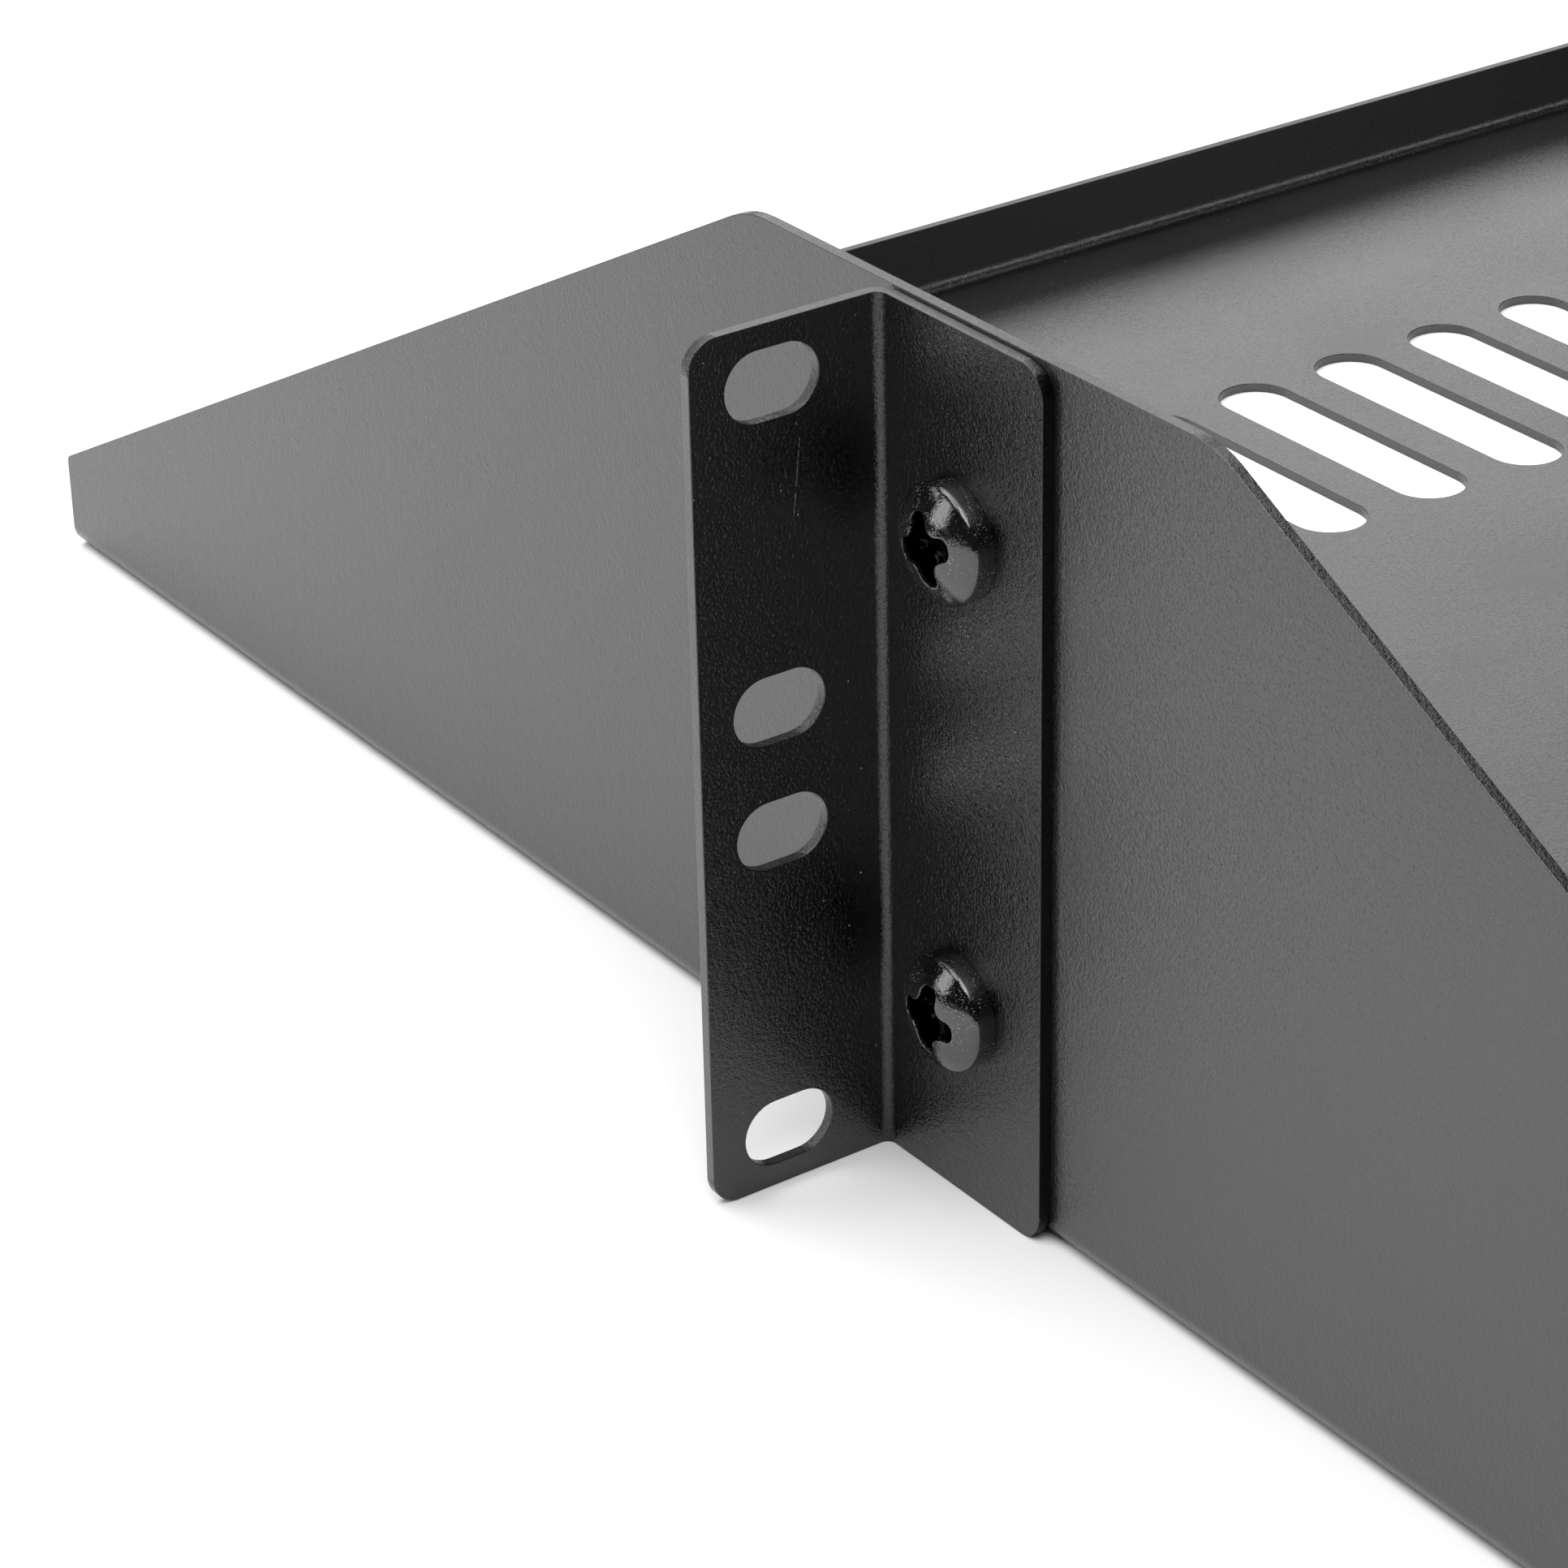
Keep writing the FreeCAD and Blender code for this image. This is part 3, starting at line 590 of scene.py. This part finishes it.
screwSettings = {
    "columns": 144,
    "headRadius": 5.75 * mm,
    "headHeight": 4.3 * mm,
    "rimHeight": 2.2 * mm,
    "domeShares": (0.06, 0.15, 0.3, 0.45, 0.6, 0.75, 0.88, 1.0),  # of the way to the shoulder
    "shoulderRound": 0.35 * mm,
    "shoulderSteps": 5,
    "footRound": 0.25 * mm,
    "footSteps": 3,
    "recess": {  # a cross with rounded arms, rounded necks between them and a hub
        "span": 6.9 * mm, "width": 2.2 * mm, "hub": 1.95 * mm,
        "armRound": 0.42, "neckRound": 0.35,  # of the arms' width
        "searchReach": 6.0 * mm, "searchSteps": 26},
    "recessDepth": 2.9 * mm,
    "recessLip": 0.12 * mm,
    "lipSteps": 4,
    "recessWall": [  # share of the depth, how far in from the mouth
        (0.1, 0.01 * mm), (0.35, 0.06 * mm), (0.6, 0.16 * mm),
        (0.8, 0.3 * mm), (0.92, 0.5 * mm), (1.0, 0.8 * mm)],
    "neckFlare": (0.3 * mm, 0.15 * mm),  # how much wider under the head, and how far down
    "plainEnd": 5.4 * mm,  # of the shank, and the thread starts below it
    "threadStart": 5.6 * mm,
    "threadLength": 8.0 * mm,
    "threadRadius": 3.0 * mm,
    "threadRoot": 2.45 * mm,
    "threadPitch": 1.0 * mm,
    "threadRings": 14,  # in each turn
    "threadFlank": (1.25, 0.12),  # steepness, and the cut that makes the root flat
    "tipBevel": 0.6 * mm,
    "upperTurn": math.radians(18),
    "lowerTurn": math.radians(-4),
}


def crossDistance(x, y, cross):  # from a rounded cross's edge, less than 0 inside
    span, width = cross["span"], cross["width"]
    armRound, neckRound = cross["armRound"] * width, cross["neckRound"] * width
    sides = [math.hypot(x, y) - cross["hub"]]
    for halfX, halfY in ((span / 2, width / 2), (width / 2, span / 2)):
        overX, overY = abs(x) - halfX + armRound, abs(y) - halfY + armRound
        outside = math.hypot(max(overX, 0.0), max(overY, 0.0))
        sides.append(outside + min(max(overX, overY), 0.0) - armRound)
    nearest = sides[0]
    for side in sides[1:]:
        close = max(neckRound - abs(nearest - side), 0.0) / neckRound
        nearest = min(nearest, side) - close * close * neckRound / 4
    return nearest


def crossReach(angle, cross, offset):  # from the axis to the cross's edge, or an offset beyond it
    near, far = 0.0, cross["searchReach"]
    for step in range(cross["searchSteps"]):
        middle = (near + far) / 2
        if crossDistance(middle * math.cos(angle), middle * math.sin(angle), cross) < offset:
            near = middle
        else:
            far = middle
    return near


def makeScrewMesh(s):
    columns, cross, lip = s["columns"], s["recess"], s["recessLip"]
    turns = evenTurns(columns)
    top, rim, reach = s["headHeight"], s["rimHeight"], s["headRadius"]
    crown = (reach ** 2 + (top - rim) ** 2) / (2 * (top - rim))

    def dome(radius):
        return top - crown + math.sqrt(crown ** 2 - radius ** 2)

    def freeRing(radii, heights):
        return [(r * math.cos(t), r * math.sin(t), z) for r, t, z in zip(radii, turns, heights)]

    rings = []
    mouth = [dome(crossReach(t, cross, 0.0)) for t in turns]
    for depth, inset in reversed(s["recessWall"]):
        rings.append(freeRing(
            [crossReach(t, cross, -inset) for t in turns],
            [z - lip + (top - s["recessDepth"] + lip - z) * depth for z in mouth]))
    for bend in quarterBends(s["lipSteps"]):
        radii = [crossReach(t, cross, lip * (1 - math.cos(bend))) for t in turns]
        rings.append(freeRing(radii, [dome(r) - lip * (1 - math.sin(bend)) for r in radii]))
    edge = reach - s["shoulderRound"]
    start = [crossReach(t, cross, lip) for t in turns]
    for share in s["domeShares"]:
        radii = [r + (edge - r) * share for r in start]
        rings.append(freeRing(radii, [dome(r) for r in radii]))
    low = rim - s["shoulderRound"]
    for step in range(s["shoulderSteps"]):  # bent round the corner of dome and side
        u = (step + 1) / s["shoulderSteps"]
        r = (1 - u) ** 2 * edge + 2 * u * (1 - u) * reach + u * u * reach
        z = (1 - u) ** 2 * dome(edge) + 2 * u * (1 - u) * rim + u * u * low
        rings.append(circleRing(r, z, columns))
    foot = s["footRound"]
    for bend in quarterBends(s["footSteps"]):
        inset, height = foot * (1 - math.cos(bend)), foot * (1 - math.sin(bend))
        rings.append(circleRing(reach - inset, height, columns))
    thread, root, pitch = s["threadRadius"], s["threadRoot"], s["threadPitch"]
    flare, flareEnd = s["neckFlare"]
    rings.append(circleRing(thread + flare, 0.0, columns))
    rings.append(circleRing(thread, -flareEnd, columns))
    rings.append(circleRing(thread, -s["plainEnd"], columns))
    first, end = s["threadStart"], s["threadLength"]
    steepness, dip = s["threadFlank"]
    steps = int((end - first) / (pitch / s["threadRings"]))
    for step in range(steps + 1):
        z = -first - (end - first) * step / steps
        tip = thread - max(0.0, s["tipBevel"] - (end + z))
        radii = []
        for t in turns:
            phase = (z / pitch + t / (2 * math.pi)) % 1.0
            ridge = min(1.0, max(0.0, steepness * abs(2 * phase - 1) - dip))
            radii.append(min(tip, root + (thread - root) * ridge))
        rings.append(freeRing(radii, [z] * columns))
    return skinRings("screwPattern", rings)


nutSettings = {
    "columns": 96,
    "bore": 3.05 * mm,
    "boreRoot": 3.4 * mm,
    "boreMouth": (0.35 * mm, 0.3 * mm),  # how much wider, and how deep
    "threadTop": 0.35 * mm,  # below the nut's top
    "pitch": 1.0 * mm,
    "threadRings": 10,  # in each turn
    "ringCount": 16,
    "collarRadius": 4.35 * mm,
    "bodyRadius": 5.5 * mm,
    "shoulder": 1.2 * mm,
    "height": 5.3 * mm,
    "bevel": 0.5 * mm,
    "softness": 0.12 * mm,
    "turnedLines": (0.3, 0.36, 0.42),  # shares of the height, as is their half width
    "lineHalf": 0.012,
    "lineDepth": 0.06 * mm,
    "upperTurn": 0.4,
    "lowerTurn": 0.1,
}


def makeNutMesh(s):
    columns, soft, bore, root = s["columns"], s["softness"], s["bore"], s["boreRoot"]
    body, top, bevel = s["bodyRadius"], s["height"], s["bevel"]
    half, flare = s["lineHalf"], s["boreMouth"]
    profile = [(bore, 0.0), (s["collarRadius"], 0.0), (s["collarRadius"], s["shoulder"]),
               (body - soft, s["shoulder"]), (body, s["shoulder"] + soft)]
    for share in s["turnedLines"]:
        profile += [(body, top * share), (body - s["lineDepth"], top * (share + half)),
                    (body, top * (share + 2 * half))]
    profile += [(body, top - bevel - soft), (body - 0.3 * soft, top - bevel + 0.2 * soft),
                (body - bevel + 0.2 * soft, top - 0.3 * soft), (body - bevel - soft, top),
                (root + flare[0], top), (root, top - flare[1])]
    rings = [circleRing(r, z, columns) for r, z in profile]
    for step in range(s["ringCount"]):
        z = top - s["threadTop"] - step * s["pitch"] / s["threadRings"]
        ring = []
        for t in evenTurns(columns):
            phase = (z / s["pitch"] - t / (2 * math.pi)) % 1.0
            r = bore + (root - bore) * abs(2 * phase - 1)
            ring.append((r * math.cos(t), r * math.sin(t), z))
        rings.append(ring)
    return skinRings("nutPattern", rings, bored=True)


def makePlacesTree():  # four alike fasteners, two on each side wall
    tree, source, sink = newGroup("GeometryNodeTree", "fastenerPlaces", [
        ("Pattern", "NodeSocketObject", None),
        ("Wall Distance", "NodeSocketFloat", 0.2209),
        ("Middle Height", "NodeSocketFloat", 0.0439),
        ("Spacing", "NodeSocketFloat", 0.0478),
        ("Facing", "NodeSocketFloat", 1.0),
        ("Upper Turn", "NodeSocketFloat", 0.0),
        ("Lower Turn", "NodeSocketFloat", 0.0),
        ("Finish", "NodeSocketMaterial", None),
    ], [("Geometry", "NodeSocketGeometry")])
    given = source.outputs
    index = tree.nodes.new("GeometryNodeInputIndex").outputs[0]

    side = addMath(tree, "MULTIPLY_ADD", addMath(tree, "MODULO", index, 2.0), 2.0, -1.0)
    level = addMath(tree, "FLOOR", addMath(tree, "MULTIPLY", index, 0.5))
    lift = addMath(tree, "MULTIPLY", addMath(tree, "SUBTRACT", level, 0.5), given["Spacing"])
    place = tree.nodes.new("ShaderNodeCombineXYZ")
    setSockets(tree, place, {
        "X": addMath(tree, "MULTIPLY", side, given["Wall Distance"]),
        "Z": addMath(tree, "ADD", given["Middle Height"], lift)})
    points = tree.nodes.new("GeometryNodePoints")
    setSockets(tree, points, {"Count": 4, "Position": place.outputs["Vector"]})

    lean = tree.nodes.new("ShaderNodeCombineXYZ")
    quarter = addMath(tree, "MULTIPLY", given["Facing"], math.pi / 2)
    setSockets(tree, lean, {"Y": addMath(tree, "MULTIPLY", side, quarter)})
    spin = tree.nodes.new("ShaderNodeCombineXYZ")
    lowerShare = addMath(tree, "SUBTRACT", 1.0, level)
    upperTurn = addMath(tree, "MULTIPLY", level, given["Upper Turn"])
    lowerTurn = addMath(tree, "MULTIPLY", lowerShare, given["Lower Turn"])
    setSockets(tree, spin, {"Z": addMath(tree, "ADD", upperTurn, lowerTurn)})
    both = tree.nodes.new("FunctionNodeRotateRotation")
    both.rotation_space = "LOCAL"
    for vector, socket in zip((lean, spin), both.inputs):
        turn = tree.nodes.new("FunctionNodeEulerToRotation")
        tree.links.new(vector.outputs["Vector"], turn.inputs[0])
        tree.links.new(turn.outputs[0], socket)

    shape = tree.nodes.new("GeometryNodeObjectInfo")
    setSockets(tree, shape, {"As Instance": True, "Object": given["Pattern"]})
    copies = tree.nodes.new("GeometryNodeInstanceOnPoints")
    setSockets(tree, copies, {
        "Points": points.outputs[0], "Instance": shape.outputs["Geometry"],
        "Rotation": both.outputs[0]})
    real = tree.nodes.new("GeometryNodeRealizeInstances")
    tree.links.new(copies.outputs[0], real.inputs[0])
    painted = tree.nodes.new("GeometryNodeSetMaterial")
    setSockets(tree, painted, {"Geometry": real.outputs[0], "Material": given["Finish"]})
    tree.links.new(painted.outputs[0], sink.inputs["Geometry"])
    return tree


def placeFasteners(tree, name, mesh, values, slot, nodes):
    pattern = bpy.data.objects.new(name + "Pattern", mesh)
    scene.collection.objects.link(pattern)
    piece = bpy.data.objects.new(name, bpy.data.meshes.new(name))
    scene.collection.objects.link(piece)
    maker = piece.modifiers.new("places", "NODES")
    maker.node_group = tree
    sockets = {x.name: x.identifier for x in tree.interface.items_tree if x.in_out == "INPUT"}
    maker[sockets["Pattern"]] = pattern
    for label, value in values.items():
        maker[sockets[label]] = value
    settle(piece)
    bpy.data.objects.remove(pattern)
    adopt(piece, slot, *nodes)


placesTree = makePlacesTree()
everySide = [side + "_" + level for side in ("left", "right") for level in ("upper", "lower")]
reach, middle, spacing = measureFasteners("screw")
placeFasteners(placesTree, "blackScrews", makeScrewMesh(screwSettings), {
    "Wall Distance": reach - screwSettings["headHeight"], "Middle Height": middle,
    "Spacing": spacing, "Facing": 1.0, "Upper Turn": screwSettings["upperTurn"],
    "Lower Turn": screwSettings["lowerTurn"], "Finish": screwFinish,
}, "black_screw", [place + "_screw" for place in everySide])
reach, middle, spacing = measureFasteners("nut")
placeFasteners(placesTree, "clinchNuts", makeNutMesh(nutSettings), {
    "Wall Distance": reach, "Middle Height": middle,
    "Spacing": spacing, "Facing": -1.0, "Upper Turn": nutSettings["upperTurn"],
    "Lower Turn": nutSettings["lowerTurn"], "Finish": nutFinish,
}, "nut_plating", [place + "_nut" for place in everySide])
print("screws and nuts placed")
